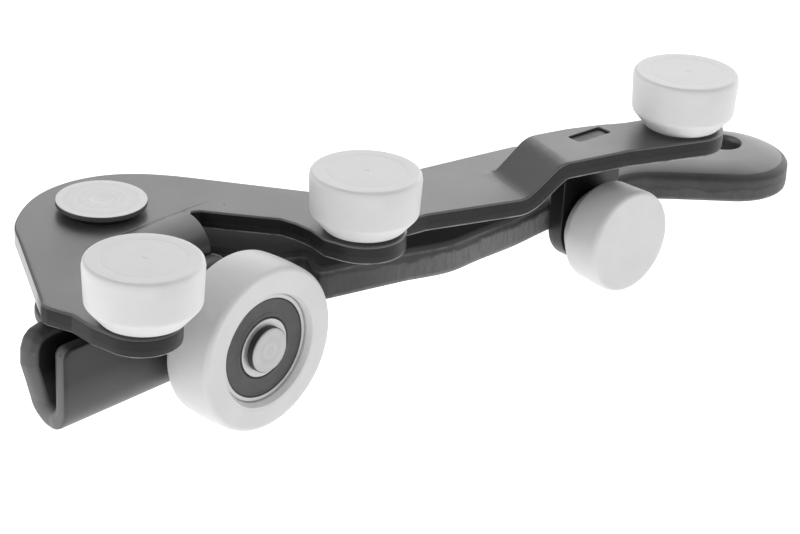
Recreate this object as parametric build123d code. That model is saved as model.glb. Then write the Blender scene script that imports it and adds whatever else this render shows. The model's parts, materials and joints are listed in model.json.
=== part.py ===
from build123d import *
from math import atan2, cos, degrees, radians, sin, tan
import os

# ---------------------------------------------------------------- driving sizes, mm
# Layout frame while drawing: guide roller 2 stands at X = Y = 0 and Z = 0 is the top
# face of the lower flat of the carriage plate. Everything is moved at the end so that
# the row's origin is the middle of the bore in the free end of the swing arm.
SHEET = 4.5                     # pressed steel sheet of the carriage
RAISE = 7.5                     # height of the raised flat above the lower flat
JOG_AZ = 29.0                   # direction in which the raised strip climbs, degrees
JOG_START = 44.1                # sharp corner at the foot of the climb, along JOG_AZ
JOG_RUN = 9.2                   # plan length of the climb between the sharp corners
JOG_R = 6.0                     # bend radius on the concave side of both bends

PIVOT = (-60.6, 3.4)            # axis of the main pivot
GUIDE_1 = (-44.45, -51.6)       # axis of each guide roller
GUIDE_2 = (0.0, 0.0)
GUIDE_3 = (76.5, 54.15)
ARM_BORE = (91.6, 85.6)         # bore at the free end of the swing arm

ARM_TOP = -9.0                  # top face of the swing arm
ARM_T = 8.2                     # arm thickness
ARM_END_R = 15.9                # rounded free end
ARM_PIVOT_R = 16.0              # rounded pivot end
ARM_BORE_R = 4.25               # clearance bore for an M8 shoulder bolt

RIVET_HEAD_R = 10.6
RIVET_SHANK_R = 7.0
SLEEVE_R = 10.0                 # hardened sleeve pressed into the arm
SLEEVE_BOTTOM = -24.0
CUP_R = 15.8                    # large washer under the sleeve
CUP_BOTTOM = -27.0
PIVOT_CLEAR = 0.05              # radial running clearance

WHEEL_AZ = -41.0                # heading of the load wheel's axis
FLANGE_OUT = -25.4              # front face of the turned-down flange, along WHEEL_AZ
FLANGE_R = 8.5                  # outside radius of the flange bend
FLANGE_LEFT = -49.0             # ends of the flange, measured across WHEEL_AZ
FLANGE_RIGHT = -23.5
FLANGE_BOTTOM = -22.0
HOOK_GAP = 3.2                  # inside width of the folded wheel bracket
HOOK_LEFT = -78.4
HOOK_RIGHT = -22.0
HOOK_TOP = -10.2                # top edge of the bracket's front wall
HOOK_BEND_Z = -24.2             # centre height of the fold
HOOK_BACK_TOP = -7.2

WHEEL_T = -31.9                 # load wheel centre, across WHEEL_AZ
WHEEL_Z = -19.3
WHEEL_FACE = 2.15               # outer face of the tyre, along WHEEL_AZ
WHEEL_R = 19.6
WHEEL_W = 13.1
WHEEL_EDGE = 2.2
WHEEL_CROWN = 0.35              # the tread is slightly barrelled
BEARING_R = 13.0                # 26 x 10 x 8 mm ball bearing
BEARING_BORE = 5.0
BEARING_W = 8.0
BEARING_DEPTH = 1.6             # bearing face below the tyre face
BALL_R = 2.38
BALL_PITCH_R = 9.0
BALLS = 7

LUG_AZ = -47.0                  # heading of the support roller's axis
LUG_CENTRE = (53.4, 45.7)
LUG_W = 19.4
LUG_AXIS_Z = -15.4
TENON_L = 11.2
TENON_T = 4.5
TENON_SINK = 0.9                # the tenon stays this far below the raised flat

ROLLER_R = 13.0                 # the four equal small rollers
ROLLER_H = 13.84
ROLLER_FOOT_R = 9.3
ROLLER_CHAMFER = 3.9
ROLLER_TAPER = 0.42
ROLLER_EDGE = 1.8
ROLLER_LIFT = 0.7               # roller foot above the face it is riveted to
WASHER_T = 0.6
PIN_R = 4.0
BUSH_R = 7.0
BUSH_L = 8.0
PIN_HEAD_R = 6.0
PIN_HEAD_T = 2.0

ORIGIN = (ARM_BORE[0], ARM_BORE[1], ARM_TOP - ARM_T / 2)


# ---------------------------------------------------------------- helpers
def heading(az):
    """Frame whose Z runs level along the heading, X level across it and Y up."""
    a = radians(az)
    return Plane(origin=(0, 0, 0), x_dir=(-sin(a), cos(a), 0), z_dir=(cos(a), sin(a), 0))


def plan(az, along, across):
    """Plan position of a point given along and across a heading."""
    a = radians(az)
    return (along * cos(a) - across * sin(a), along * sin(a) + across * cos(a))


def ring(outer, inner, low, high):
    """Plain ring about Z between two heights."""
    body = Pos(0, 0, low) * extrude(Circle(outer), high - low)
    return body - Pos(0, 0, low - 1) * extrude(Circle(inner), high - low + 2)


def turned(points):
    """Solid turned about Z from a closed outline of (radius, height) points."""
    outline = make_face(Polyline(*[(r, 0, h) for r, h in points], close=True))
    return revolve(outline, Axis.Z)


def at(point, z=0.0):
    return Pos(point[0], point[1], z)


def arc_points(centre, radius, start, stop, steps):
    """Points on a circle from one angle to another, degrees."""
    out = []
    for i in range(steps + 1):
        a = radians(start + (stop - start) * i / steps)
        out.append((centre[0] + radius * cos(a), centre[1] + radius * sin(a)))
    return out


def save(name, shape):
    os.makedirs("parts", exist_ok=True)
    moved = Pos(-ORIGIN[0], -ORIGIN[1], -ORIGIN[2]) * shape
    export_step(moved, "parts/" + name + ".step")


# ---------------------------------------------------------------- carriage plate
def plate_plan():
    """Plan outline of the plate: rounded pivot end, two tabs, cut-out and strip."""
    back = Spline(
        (-78.3, -10.5), (-79.0, -3.0), (-76.3, 9.8), (-70.2, 18.3),
        (-61.5, 23.6), (-50.0, 25.2), (-41.0, 24.2),
        tangents=[(-0.32, 1.0), (1.0, -0.165)],
    )
    tip = plan(WHEEL_AZ, FLANGE_OUT - FLANGE_R, FLANGE_RIGHT)
    notch = plan(WHEEL_AZ, FLANGE_OUT - FLANGE_R, FLANGE_LEFT)
    loop = [(-41.0, 24.2), (-13.0, 19.6), (-8.5, 20.6), (-4.0, 24.2), (12.7, 37.0)]
    loop += [(27.1, 47.7), (35.6, 53.9)]
    # short lobe of the lower flat beside the climbing strip, then the slit
    loop += [(39.0, 54.2), (41.6, 50.6), (41.0, 46.0), (30.2, 37.4), (29.4, 36.0)]
    loop += [(40.7, 44.3), (47.0, 48.2), (56.2, 52.2), (62.5, 54.8), (67.2, 57.6)]
    loop += arc_points(GUIDE_3, 9.7, 160.0, -68.0, 16)
    loop += [(62.6, 36.8), (47.9, 27.6), (36.9, 21.2), (14.5, 10.1)]
    loop += arc_points(GUIDE_2, 10.0, 32.0, -118.0, 12)
    loop += [(-8.8, -6.6), (-12.2, -1.9), (-15.8, 1.2), (-19.4, 3.3), (-23.6, 3.7)]
    loop += [(-31.5, 4.6), (-38.0, 5.5), tip, notch]
    loop += [(-42.0, -33.0), (-38.2, -43.5)]
    loop += arc_points((GUIDE_1[0] - 0.5, GUIDE_1[1] - 0.3), 9.0, 40.0, -128.0, 14)
    loop += [(-55.0, -55.8), (-59.7, -50.9), (-65.4, -48.2), (-66.9, -46.9), (-67.3, -44.6)]
    loop += [(-78.3, -10.5)]
    return make_face(Wire([back.edge(), *Polyline(*loop).edges()]))


def climb_profile():
    """Section of the sheet through the climb, as X along JOG_AZ and Y up."""
    shift = SHEET * tan(radians(slope_angle() / 2))
    foot = JOG_START + shift
    head = JOG_START + JOG_RUN + shift
    far = 260.0
    top = [(-far, 0), (JOG_START, 0), (JOG_START + JOG_RUN, RAISE), (far, RAISE)]
    low = [(far, RAISE - SHEET), (head, RAISE - SHEET), (foot, -SHEET), (-far, -SHEET)]
    face = make_face(Polyline(*top, *low, close=True))
    for x, y, radius in (
        (JOG_START, 0, JOG_R),
        (JOG_START + JOG_RUN, RAISE, JOG_R + 0.5),
        (foot, -SHEET, JOG_R + SHEET),
        (head, RAISE - SHEET, 2.0),
    ):
        corner = face.vertices().sort_by_distance(Vector(x, y, 0))[0]
        face = fillet(corner, radius)
    return face


def slope_angle():
    """Steepness of the climb, degrees."""
    return degrees(atan2(RAISE, JOG_RUN))


def flange():
    """Quarter bend and turned-down flange that carries the wheel bracket."""
    z0 = -FLANGE_R
    k0 = FLANGE_OUT - FLANGE_R
    inner = FLANGE_R - SHEET
    a = radians(WHEEL_AZ)
    across = Plane(origin=(0, 0, 0), x_dir=(cos(a), sin(a), 0), z_dir=(sin(a), -cos(a), 0))
    pts = [(k0 - 3.0, 0), (k0, 0)]
    pts += [
        (k0 + FLANGE_R * sin(radians(i * 9)), z0 + FLANGE_R * cos(radians(i * 9)))
        for i in range(1, 11)
    ]
    pts += [(FLANGE_OUT, FLANGE_BOTTOM), (FLANGE_OUT - SHEET, FLANGE_BOTTOM)]
    pts += [
        (k0 + inner * sin(radians(i * 9)), z0 + inner * cos(radians(i * 9)))
        for i in range(10, -1, -1)
    ]
    pts += [(k0 - 3.0, -SHEET)]
    face = make_face(Polyline(*pts, close=True))
    body = extrude(face, FLANGE_RIGHT - FLANGE_LEFT)
    return Pos(*plan(WHEEL_AZ, 0, FLANGE_RIGHT), 0) * (across.location * body)


def carriage_plate():
    prism = Pos(0, 0, -20) * extrude(plate_plan(), 60)
    a = radians(JOG_AZ)
    side = Plane(origin=(0, 0, 0), x_dir=(cos(a), sin(a), 0), z_dir=(sin(a), -cos(a), 0))
    sheet = side.location * (Pos(0, 0, -150) * extrude(climb_profile(), 300))
    body = prism & sheet
    # the lobe stays on the lower flat
    lobe = [(27.4, 36.4), (29.7, 36.6), (41.4, 45.4), (50.0, 50.0), (45.0, 62.0), (14.0, 60.0)]
    region = Pos(0, 0, -20) * extrude(make_face(Polyline(*lobe, close=True)), 60)
    level = Pos(0, 0, -SHEET) * extrude(Rectangle(600, 600), SHEET)
    body = (body - region) + (prism & region & level)
    body = body + flange()
    for centre, face_z in ((GUIDE_1, 0), (GUIDE_2, 0), (GUIDE_3, RAISE)):
        body -= at(centre, face_z - 2 * SHEET) * extrude(Circle(PIN_R), 3 * SHEET)
    body -= at(PIVOT, -2 * SHEET) * extrude(Circle(RIVET_SHANK_R), 3 * SHEET)
    body -= at(LUG_CENTRE, RAISE - 2 * SHEET) * (
        Rot(0, 0, LUG_AZ + 90) * extrude(Rectangle(TENON_L, TENON_T), 3 * SHEET))
    for across_t, z in RIVET_SPOTS:
        body -= bracket_rivet_hole(across_t, z)
    return body


# ---------------------------------------------------------------- wheel bracket
RIVET_SPOTS = ((-43.5, -15.5), (-29.0, -15.5))
SMALL_RIVET_R = 2.5


def bracket_rivet_hole(across_t, z):
    body = Pos(across_t, z, FLANGE_OUT - 20) * extrude(Circle(SMALL_RIVET_R), 40)
    keep = Pos(across_t, z, FLANGE_OUT + SHEET + 0.5) * extrude(Circle(SMALL_RIVET_R + 1), 40)
    return heading(WHEEL_AZ).location * (body - keep)


def wheel_bracket():
    """Sheet folded into a narrow channel, open at the top, with raked left ends."""
    k_back = FLANGE_OUT
    k_mid = k_back + SHEET + HOOK_GAP / 2
    r_in = HOOK_GAP / 2
    r_out = r_in + SHEET
    pts = [(k_back, HOOK_BACK_TOP), (k_back, HOOK_BEND_Z)]
    pts += [
        (k_mid - r_out * cos(radians(i * 10)), HOOK_BEND_Z - r_out * sin(radians(i * 10)))
        for i in range(1, 19)
    ]
    pts += [(k_mid + r_out, HOOK_TOP - 0.8), (k_mid + r_out - 0.8, HOOK_TOP)]
    pts += [(k_mid + r_in + 0.8, HOOK_TOP), (k_mid + r_in, HOOK_TOP - 0.8)]
    pts += [
        (k_mid + r_in * cos(radians(i * 10)), HOOK_BEND_Z - r_in * sin(radians(i * 10)))
        for i in range(0, 19)
    ]
    pts += [(k_back + SHEET, HOOK_BACK_TOP)]
    a = radians(WHEEL_AZ)
    across = Plane(origin=(0, 0, 0), x_dir=(cos(a), sin(a), 0), z_dir=(sin(a), -cos(a), 0))
    length = HOOK_RIGHT - HOOK_LEFT + 4
    body = extrude(make_face(Polyline(*pts, close=True)), length)
    body = Pos(*plan(WHEEL_AZ, 0, HOOK_RIGHT), 0) * (across.location * body)
    side = heading(WHEEL_AZ)
    # raked and rounded left end of the back wall and the fold
    back_end = [(HOOK_RIGHT + 2, -40), (-76.6, -40), (-77.8, -30.3), (-79.0, -24.8), (-80.0, -20.1)]
    back_end += [(-81.0, -15.5), (-80.9, -11.8), (-80.0, -9.3), (-78.3, -7.8), (-75.7, HOOK_BACK_TOP)]
    back_end += [(-70.0, HOOK_BACK_TOP), (-70.0, 0), (HOOK_RIGHT + 2, 0)]
    back_face = make_face(Polyline(*back_end, close=True))
    back_keep = Pos(0, 0, k_back - 1) * extrude(back_face, k_mid - k_back + 1)
    front_end = [(HOOK_RIGHT + 2, -40), (HOOK_LEFT + 0.2, -40), (HOOK_LEFT, -24.0)]
    front_end += [(HOOK_LEFT, HOOK_TOP - 2.4), (HOOK_LEFT + 0.8, HOOK_TOP - 0.7), (HOOK_LEFT + 2.6, HOOK_TOP)]
    front_end += [(HOOK_RIGHT - 5, HOOK_TOP), (HOOK_RIGHT - 1.5, HOOK_TOP - 1.5), (HOOK_RIGHT, HOOK_TOP - 5)]
    front_end += [(HOOK_RIGHT, -40)]
    front_keep = Pos(0, 0, k_mid) * extrude(make_face(Polyline(*front_end, close=True)), 20)
    body = body & (side.location * (back_keep + front_keep))
    pin_hole = Pos(WHEEL_T, WHEEL_Z, k_mid) * extrude(Circle(BEARING_BORE), 20)
    sink = turned([(0, 0), (BEARING_BORE + 1.0, 0), (BEARING_BORE, 1.0), (0, 1.0)])
    body -= side.location * (pin_hole + Pos(WHEEL_T, WHEEL_Z, k_mid + r_in) * sink)
    for across_t, z in RIVET_SPOTS:
        body -= bracket_rivet_hole(across_t, z)
    return body


def bracket_rivets():
    """Two short rivets that hold the bracket to the flange."""
    shank = extrude(Circle(SMALL_RIVET_R), 2 * SHEET)
    head = turned([(0, 0), (4.0, 0), (3.6, 0.8), (2.4, 1.2), (0, 1.2)])
    single = shank + Pos(0, 0, 2 * SHEET) * head + Rot(180, 0, 0) * head
    out = []
    for across_t, z in RIVET_SPOTS:
        out.append(heading(WHEEL_AZ).location * (Pos(across_t, z, FLANGE_OUT - SHEET) * single))
    return Compound(children=out)


# ---------------------------------------------------------------- main pivot
def pivot_rivet():
    """Turned head on a neck, long shank, and a formed tail under the washer."""
    head_top = 2.7
    outline = [(0, head_top), (RIVET_HEAD_R - 0.25, head_top), (RIVET_HEAD_R, head_top - 0.25)]
    outline += [(RIVET_HEAD_R, 1.3), (RIVET_HEAD_R - 0.9, 1.0), (RIVET_HEAD_R - 0.9, 0)]
    outline += [(RIVET_SHANK_R, 0), (RIVET_SHANK_R, CUP_BOTTOM)]
    outline += [(9.4, CUP_BOTTOM), (9.0, CUP_BOTTOM - 1.4), (7.4, CUP_BOTTOM - 2.4), (0, CUP_BOTTOM - 2.6)]
    return at(PIVOT) * turned(outline)


def pivot_spacer():
    """Slippery wear ring between the plate and the arm."""
    return at(PIVOT) * ring(13.5, RIVET_SHANK_R, ARM_TOP + 0.15, -SHEET)


def pivot_sleeve():
    """Hardened sleeve pressed into the arm and turning on the rivet shank."""
    return at(PIVOT) * ring(SLEEVE_R, RIVET_SHANK_R + PIVOT_CLEAR, SLEEVE_BOTTOM, ARM_TOP)


def pivot_washer():
    """Large washer with a rolled rim under the sleeve."""
    top = SLEEVE_BOTTOM - 0.15
    outline = [(RIVET_SHANK_R, top), (CUP_R - 0.8, top), (CUP_R, top - 0.8), (CUP_R, CUP_BOTTOM + 0.6)]
    outline += [(CUP_R - 0.6, CUP_BOTTOM), (RIVET_SHANK_R, CUP_BOTTOM)]
    return at(PIVOT) * turned(outline)


def arm_plan():
    """Plan outline of the curved arm, from the pivot end to the bored end."""
    end_c = (92.5, 81.6)
    front_a = Spline((-14.4, 4.9), (-12.9, 4.4), (-12.2, 2.4), tangents=[(1.0, 0.2), (0.1, -1.0)])
    loop = arc_points(PIVOT, ARM_PIVOT_R, 96.0, 319.0, 30)
    q = plan(WHEEL_AZ, FLANGE_OUT - SHEET - 1.4, FLANGE_RIGHT + 2.6)
    loop += [q, (q[0] + 3.2, q[1] - 0.3), (-21.0, 2.3), (-14.4, 4.9)]
    tail = [(-12.2, 2.4), (-11.4, -1.6), (-9.8, -3.0), (-7.6, -2.4), (9.4, 8.7)]
    curve = Spline(
        (9.4, 8.7), (20.8, 15.4), (25.9, 20.9), (36.6, 32.2), (45.0, 42.3),
        (57.6, 55.0), (66.5, 63.0), (76.0, 64.7), (92.5, 81.6 - ARM_END_R),
        tangents=[(1.0, 0.62), (1.0, 0.03)],
    )
    end = ThreePointArc(
        (92.5, 81.6 - ARM_END_R), (end_c[0] + ARM_END_R, end_c[1]), (92.5, 81.6 + ARM_END_R))
    back = Spline(
        (92.5, 81.6 + ARM_END_R), (78.0, 94.0), (60.0, 84.0), (42.0, 67.5), (25.0, 50.0),
        (8.0, 35.5), (-12.0, 25.4), (-36.0, 20.6), loop[0],
        tangents=[(-1.0, 0.0), (-1.0, -0.1)],
    )
    edges = [*Polyline(*loop).edges(), front_a.edge(), *Polyline(*tail).edges()]
    edges += [curve.edge(), end.edge(), back.edge()]
    return make_face(Wire(edges))


def swing_arm():
    body = Pos(0, 0, ARM_TOP - ARM_T) * extrude(arm_plan(), ARM_T)
    body -= at(PIVOT, ARM_TOP - 2 * ARM_T) * extrude(Circle(SLEEVE_R), 3 * ARM_T)
    body -= at(ARM_BORE, ARM_TOP - 2 * ARM_T) * extrude(Circle(ARM_BORE_R), 3 * ARM_T)
    return body


# ---------------------------------------------------------------- small rollers
def roller_tyre():
    """Moulded roller: closed top, tapered tread, chamfered foot, blind cavity."""
    r, h, e = ROLLER_R, ROLLER_H, ROLLER_EDGE
    edge = [
        (r - e + e * cos(radians(i * 15)), h - e + e * sin(radians(i * 15)))
        for i in range(0, 7)
    ]
    outline = [(BUSH_R, 0), (ROLLER_FOOT_R - 0.3, 0), (ROLLER_FOOT_R, 0.3)]
    outline += [(r - ROLLER_TAPER, ROLLER_CHAMFER)] + edge
    outline += [(9.3, h), (8.9, h - 0.35), (0.9, h - 0.35), (0.9, h - 0.15), (0, h - 0.15)]
    outline += [(0, BUSH_L + PIN_HEAD_T + 0.45), (BUSH_R, BUSH_L + PIN_HEAD_T + 0.45)]
    return turned(outline)


def roller_bush():
    return ring(BUSH_R, PIN_R + PIVOT_CLEAR, 0, BUSH_L)


def roller_washer():
    return Pos(0, 0, -ROLLER_LIFT) * ring(8.0, PIN_R, 0, WASHER_T)


def roller_pin(flush):
    """Headed pin. The tail is a formed head, or a flush one where space is short."""
    low = -ROLLER_LIFT - SHEET
    head = BUSH_L + 0.15
    outline = [(0, head + PIN_HEAD_T), (PIN_HEAD_R - 0.6, head + PIN_HEAD_T)]
    outline += [(PIN_HEAD_R, head + PIN_HEAD_T - 0.6), (PIN_HEAD_R, head), (PIN_R, head)]
    if flush:
        outline += [(PIN_R, low + 1.5), (PIN_R + 1.5, low), (0, low)]
    else:
        outline += [(PIN_R, low), (6.0, low), (5.6, low - 1.0), (4.2, low - 1.8), (0, low - 1.8)]
    return turned(outline)


def guide_place(index):
    centre = (GUIDE_1, GUIDE_2, GUIDE_3)[index]
    level = (0.0, 0.0, RAISE)[index]
    return at(centre, level + ROLLER_LIFT)


def support_place():
    frame = heading(LUG_AZ)
    a = radians(LUG_AZ)
    along = LUG_CENTRE[0] * cos(a) + LUG_CENTRE[1] * sin(a) + SHEET / 2 + ROLLER_LIFT
    across = -LUG_CENTRE[0] * sin(a) + LUG_CENTRE[1] * cos(a)
    return frame.location * Pos(across, LUG_AXIS_Z, along)


def roller_lug():
    """Hanging plate with a full-round foot and a tenon through the raised flat."""
    outline = [(LUG_W / 2, RAISE - SHEET), (-LUG_W / 2, RAISE - SHEET)]
    outline += [
        (-LUG_W / 2 * cos(radians(i * 10)), LUG_AXIS_Z - LUG_W / 2 * sin(radians(i * 10)))
        for i in range(0, 19)
    ]
    body = extrude(make_face(Polyline(*outline, close=True)), SHEET)
    tenon = Pos(0, RAISE - SHEET / 2 - TENON_SINK / 2, SHEET / 2)
    body += tenon * Box(TENON_L, SHEET - TENON_SINK, TENON_T)
    body -= Pos(0, LUG_AXIS_Z, -1) * extrude(Circle(PIN_R), SHEET + 2)
    body -= Pos(0, LUG_AXIS_Z, 0) * turned([(0, 0), (PIN_R + 1.5, 0), (PIN_R, 1.5), (0, 1.5)])
    a = radians(LUG_AZ)
    along = LUG_CENTRE[0] * cos(a) + LUG_CENTRE[1] * sin(a) - SHEET / 2
    across = -LUG_CENTRE[0] * sin(a) + LUG_CENTRE[1] * cos(a)
    return heading(LUG_AZ).location * (Pos(across, 0, along) * body)


# ---------------------------------------------------------------- load wheel
# Heights are measured along the axle from the bearing's middle, + towards the outside.
MID = WHEEL_FACE - BEARING_DEPTH - BEARING_W / 2
OUT = BEARING_W / 2
FACE = OUT + BEARING_DEPTH
BACK = FACE - WHEEL_W


def wheel_place():
    return heading(WHEEL_AZ).location * Pos(WHEEL_T, WHEEL_Z, MID)


def wheel_tyre():
    r, e = WHEEL_R, WHEEL_EDGE
    middle = (BACK + FACE) / 2
    outline = [(11.2, BACK), (r - e, BACK)]
    outline += [
        (r - e + e * sin(radians(i * 15)), BACK + e - e * cos(radians(i * 15)))
        for i in range(1, 7)
    ]
    side = r + WHEEL_CROWN * 0.75
    outline += [(side, middle - 2.1), (r + WHEEL_CROWN, middle), (side, middle + 2.1)]
    outline += [
        (r - e + e * cos(radians(i * 15)), FACE - e + e * sin(radians(i * 15)))
        for i in range(0, 7)
    ]
    outline += [(BEARING_R + 0.2, FACE), (BEARING_R, FACE - 0.2), (BEARING_R, -OUT), (11.2, -OUT)]
    return turned(outline)


def bearing_outer_ring():
    outline = [(BEARING_R, -OUT), (BEARING_R, OUT), (11.9, OUT), (11.9, OUT - 1.0), (10.6, OUT - 1.0)]
    outline += [(10.6, -OUT + 1.0), (11.9, -OUT + 1.0), (11.9, -OUT)]
    track = revolve(Pos(BALL_PITCH_R, 0, 0) * Rot(90, 0, 0) * Circle(BALL_R + 0.05), Axis.Z)
    return turned(outline) - track


def bearing_inner_ring():
    outline = [(BEARING_BORE, -OUT), (6.8, -OUT), (7.0, -OUT + 0.2), (7.0, OUT - 0.2)]
    outline += [(6.8, OUT), (BEARING_BORE, OUT)]
    track = revolve(Pos(BALL_PITCH_R, 0, 0) * Rot(90, 0, 0) * Circle(BALL_R + 0.07), Axis.Z)
    return turned(outline) - track


def bearing_balls():
    out = []
    for i in range(BALLS):
        out.append(Rot(0, 0, 360 * i / BALLS) * Pos(BALL_PITCH_R, 0, 0) * Sphere(BALL_R))
    return Compound(children=out)


def bearing_cage():
    """Two side rings joined by posts between the balls."""
    side = ring(9.5, 8.5, 2.55, 3.0) + ring(9.5, 8.5, -3.0, -2.55)
    posts = ring(9.5, 8.5, -2.8, 2.8)
    for i in range(BALLS):
        posts -= Rot(0, 0, 360 * i / BALLS) * Pos(BALL_PITCH_R, 0, 0) * Box(8.0, 5.2, 8.0)
    return side + posts


def bearing_seal(front):
    seal = ring(11.85, 7.08, OUT - 0.85, OUT - 0.15)
    return seal if front else Rot(180, 0, 0) * seal


def wheel_spacer():
    """Distance sleeve between the bracket's front wall and the inner ring."""
    wall = FLANGE_OUT + 2 * SHEET + HOOK_GAP - MID
    return ring(6.6, BEARING_BORE, wall, -OUT)


def wheel_pin():
    """Axle: flush formed tail in the front wall, shank, and a peened outer end."""
    wall = FLANGE_OUT + 2 * SHEET + HOOK_GAP - MID
    inside = wall - SHEET
    outline = [(0, inside), (BEARING_BORE + 1.0, inside), (BEARING_BORE, inside + 1.0)]
    outline += [(BEARING_BORE, OUT), (5.45, OUT), (5.4, OUT + 1.3), (5.0, OUT + 1.7), (0, OUT + 1.85)]
    return turned(outline)


# ---------------------------------------------------------------- write the nodes
save("carriage_plate", carriage_plate())
save("wheel_bracket", wheel_bracket())
save("bracket_rivets", bracket_rivets())
save("pivot_rivet", pivot_rivet())
save("pivot_spacer", pivot_spacer())
save("pivot_sleeve", pivot_sleeve())
save("pivot_washer", pivot_washer())
save("swing_arm", swing_arm())
save("roller_lug", roller_lug())
for number in range(3):
    tag = "_" + str(number + 1)
    save("guide_tyre" + tag, guide_place(number) * roller_tyre())
    save("guide_bush" + tag, guide_place(number) * roller_bush())
    save("guide_washer" + tag, guide_place(number) * roller_washer())
    save("guide_pin" + tag, guide_place(number) * roller_pin(False))
save("support_tyre", support_place() * roller_tyre())
save("support_bush", support_place() * roller_bush())
save("support_washer", support_place() * roller_washer())
save("support_pin", support_place() * roller_pin(True))
save("wheel_tyre", wheel_place() * wheel_tyre())
save("bearing_outer_ring", wheel_place() * bearing_outer_ring())
save("bearing_inner_ring", wheel_place() * bearing_inner_ring())
save("bearing_balls", wheel_place() * bearing_balls())
save("bearing_cage", wheel_place() * bearing_cage())
save("bearing_seal_front", wheel_place() * bearing_seal(True))
save("bearing_seal_rear", wheel_place() * bearing_seal(False))
save("wheel_spacer", wheel_place() * wheel_spacer())
save("wheel_pin", wheel_place() * wheel_pin())
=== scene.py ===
import json
from math import atan2, cos, pi, radians, sin, sqrt, tan

import bmesh
import bpy
import numpy as np
from mathutils import Matrix, Vector, noise
from mathutils.geometry import delaunay_2d_cdt


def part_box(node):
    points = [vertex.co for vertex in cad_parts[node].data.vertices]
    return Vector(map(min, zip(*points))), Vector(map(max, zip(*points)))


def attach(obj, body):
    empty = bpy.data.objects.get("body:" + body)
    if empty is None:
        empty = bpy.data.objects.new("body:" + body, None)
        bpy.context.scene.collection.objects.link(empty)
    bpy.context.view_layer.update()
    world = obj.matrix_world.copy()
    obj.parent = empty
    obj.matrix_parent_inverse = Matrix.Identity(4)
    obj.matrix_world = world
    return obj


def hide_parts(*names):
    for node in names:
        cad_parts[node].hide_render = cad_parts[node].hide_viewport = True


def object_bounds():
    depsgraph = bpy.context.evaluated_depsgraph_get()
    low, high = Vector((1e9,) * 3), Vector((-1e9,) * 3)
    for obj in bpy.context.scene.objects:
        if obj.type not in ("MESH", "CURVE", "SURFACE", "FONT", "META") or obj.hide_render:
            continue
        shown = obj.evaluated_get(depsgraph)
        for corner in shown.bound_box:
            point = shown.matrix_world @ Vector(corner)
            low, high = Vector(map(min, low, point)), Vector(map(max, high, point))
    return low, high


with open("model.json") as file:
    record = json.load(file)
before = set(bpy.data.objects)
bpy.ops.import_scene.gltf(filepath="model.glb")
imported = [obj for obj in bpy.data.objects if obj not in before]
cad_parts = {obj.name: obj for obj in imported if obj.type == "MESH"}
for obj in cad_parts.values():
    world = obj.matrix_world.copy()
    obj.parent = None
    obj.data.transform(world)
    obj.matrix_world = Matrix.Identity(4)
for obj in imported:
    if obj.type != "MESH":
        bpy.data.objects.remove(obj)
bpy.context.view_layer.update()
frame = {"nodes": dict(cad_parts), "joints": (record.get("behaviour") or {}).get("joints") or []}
JOINTS = {joint["name"]: joint for joint in frame["joints"]}

# ---------------------------------------------------------------- driving sizes, mm
# The layout frame is the one the part is drawn in: guide roller 2 stands at X = Y = 0
# and Z = 0 is the top of the plate's lower flat. row() carries a point to the row frame.
# AZ is a heading in degrees from +X. "Along" runs that way and "across" to its left.
MM = 0.001

# pressed sheet, its climb to the raised flat, and the headings of the wheel and the lug
SHEET = 4.5
RAISE = 7.5
JOG_AZ = 29.0
JOG_START = 44.1
JOG_RUN = 9.2
JOG_R = 6.0
WHEEL_AZ = -41.0
LUG_AZ = -47.0

# swing arm
ARM_TOP = -9.0
ARM_T = 8.2
ARM_END = (92.5, 81.2)
ARM_PIVOT_R = 16.0
ARM_END_R = 15.9
ARM_BORE_R = 4.25

# main pivot
SLEEVE_R = 10.0
SLEEVE_FOOT = -24.0
WEAR_RING_R = 13.5
CUP_R = 15.8
CUP_FOOT = -27.0
RIVET_HEAD_R = 10.6
RIVET_HEAD_TOP = 2.66
RIVET_SHANK_R = 7.0

# flange and wheel bracket: OUT is along the wheel's heading, LEFT and RIGHT across it
FLANGE_OUT = -25.4
FLANGE_R = 8.5
FLANGE_LEFT = -49.0
FLANGE_RIGHT = -23.5
FLANGE_BOTTOM = -22.0
HOOK_GAP = 3.2
HOOK_LEFT = -78.4
HOOK_RIGHT = -22.0
HOOK_TOP = -9.1
HOOK_BEND_Z = -24.2
HOOK_BACK_TOP = -7.2

# small rollers: each stands ROLLER_LIFT off its sheet, and its bore ends at POCKET_TOP
ROLLER_R = 13.0
ROLLER_H = 13.84
ROLLER_LIFT = 0.7
BUSH_R = 7.0
PIN_R = 4.0
PIN_HEAD_R = 6.0
POCKET_TOP = 10.45

# load wheel: its bearing lies BEARING_DEPTH below its face
WHEEL_R = 19.6
WHEEL_W = 13.1
WHEEL_PIN_R = 5.0
BEARING_R = 13.0
BEARING_HALF = 4.0
BEARING_DEPTH = 1.6

# roller lug: its tenon ends TENON_SINK below the raised flat
LUG_W = 19.4
LUG_AXIS_Z = -15.4
TENON_L = 11.2
TENON_T = 4.5
TENON_SINK = 0.55

# the layout frame's origin in the row frame, m
GUIDE_2_AT = Vector(JOINTS["guide_spin_2"]["pos_m"])
ORIGIN = Vector((GUIDE_2_AT.x, GUIDE_2_AT.y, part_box("swing_arm")[1][2] - ARM_TOP * MM))


def row(x, y, z):
    """A layout point in mm as a row-frame point in metres."""
    return Vector((x, y, z)) * MM + ORIGIN


def layout(joint):
    """A joint's place in the layout frame, mm."""
    return (Vector(JOINTS[joint]["pos_m"]) - ORIGIN) / MM


def plan(az, along, across):
    """A place along and across a heading as plan X and Y."""
    a = radians(az)
    return (along * cos(a) - across * sin(a), along * sin(a) + across * cos(a))


def along_across(az, x, y):
    """The reverse of plan()."""
    a = radians(az)
    return (x * cos(a) + y * sin(a), -x * sin(a) + y * cos(a))


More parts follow.
